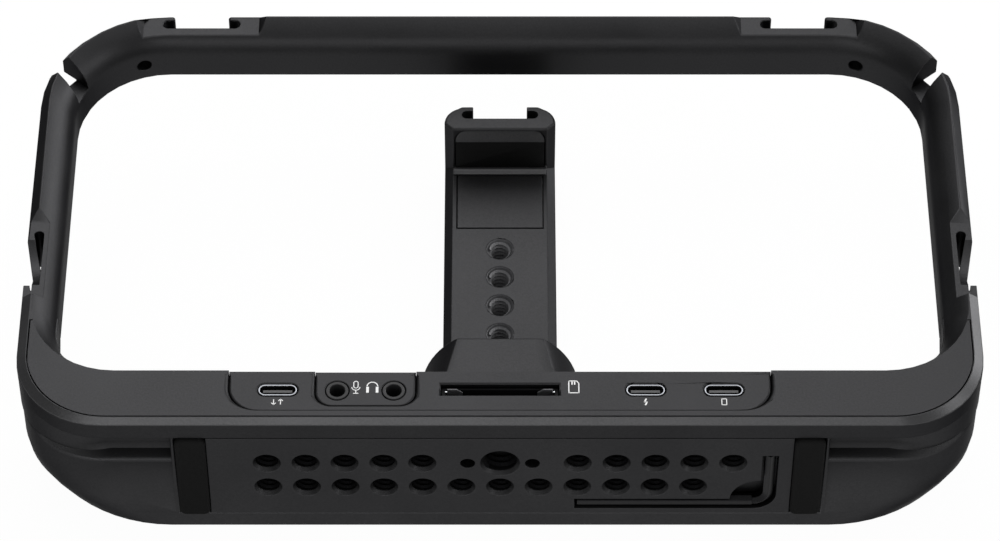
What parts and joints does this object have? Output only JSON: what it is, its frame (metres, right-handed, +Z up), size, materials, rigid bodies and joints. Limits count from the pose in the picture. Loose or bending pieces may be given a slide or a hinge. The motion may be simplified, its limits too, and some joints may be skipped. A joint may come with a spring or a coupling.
{
  "type": "phone cage",
  "caption": "Black aluminium phone video cage: a ring with cold shoes and strap hooks, a port hub with scooped grips, a threaded base plate and a sliding clamp arm.",
  "frame": {"origin": "middle of the part's box in X and Y, on its underside in Z", "axes": "+X along the cage to the right, +Y from the hub to the far bar, +Z up to the port face"},
  "size_m": [0.2244, 0.1308, 0.0396],
  "materials": {
    "frame_anodised": "bead-blasted, black anodised",
    "hub_anodised": "bead-blasted, black anodised",
    "cover_anodised": "bead-blasted, dark grey anodised",
    "panel_plastic": "moulded, dark grey, matt",
    "bezel_plastic": "moulded, dark grey, matt",
    "plate_anodised": "bead-blasted, black anodised",
    "grip_rubber": "matt",
    "key_steel": "black oxide",
    "magnet_nickel": "nickel plated",
    "screw_steel": "black zinc",
    "board_laminate": "solder mask",
    "chip_plastic": "moulded",
    "port_steel": "nickel plated",
    "tongue_plastic": "moulded",
    "jack_plastic": "moulded",
    "socket_plastic": "moulded",
    "contact_brass": "gold plated",
    "arm_anodised": "bead-blasted, black anodised",
    "lining_rubber": "matt",
    "arm_pad_rubber": "matt"
  },
  "bodies": {
    "cage": {"cage_frame": "frame_anodised", "hub_housing": "hub_anodised", "top_cover": "cover_anodised", "port_panel": "panel_plastic", "audio_bezel": "bezel_plastic", "base_plate": "plate_anodised", "left_grip_pad": "grip_rubber", "right_grip_pad": "grip_rubber", "key_magnet": "magnet_nickel", "plate_screws": "screw_steel", "frame_screws": "screw_steel", "hub_board": "board_laminate", "hub_chips": "chip_plastic", "board_screws": "screw_steel", "usb_data_port": "port_steel", "usb_power_port": "port_steel", "usb_phone_port": "port_steel", "usb_tongues": "tongue_plastic", "mic_jack": "jack_plastic", "headphone_jack": "jack_plastic", "sd_socket": "socket_plastic", "sd_contacts": "contact_brass", "lower_jaw": "hub_anodised", "lower_jaw_pad": "lining_rubber", "jaw_screws": "screw_steel"},
    "clamp": {"clamp_arm": "arm_anodised", "hook_pad": "lining_rubber", "arm_face_pad": "arm_pad_rubber"},
    "hex_key": {"hex_key": "key_steel"},
    "lock_screw": {"clamp_lock_screw": "screw_steel"}
  },
  "joints": [
    {"name": "clamp_slide", "type": "slide", "parent": "cage", "child": "clamp", "axis": [0, 1, 0], "range_m": [0, 0.025]},
    {"name": "hex_key_pull", "type": "slide", "parent": "cage", "child": "hex_key", "axis": [0, -1, 0], "range_m": [0, 0.03]},
    {"name": "lock_screw_turn", "type": "hinge", "parent": "cage", "child": "lock_screw", "pos_m": [0, -0.0276, 0.005], "axis": [0, 0, -1], "range_deg": [0, 270]}
  ]
}
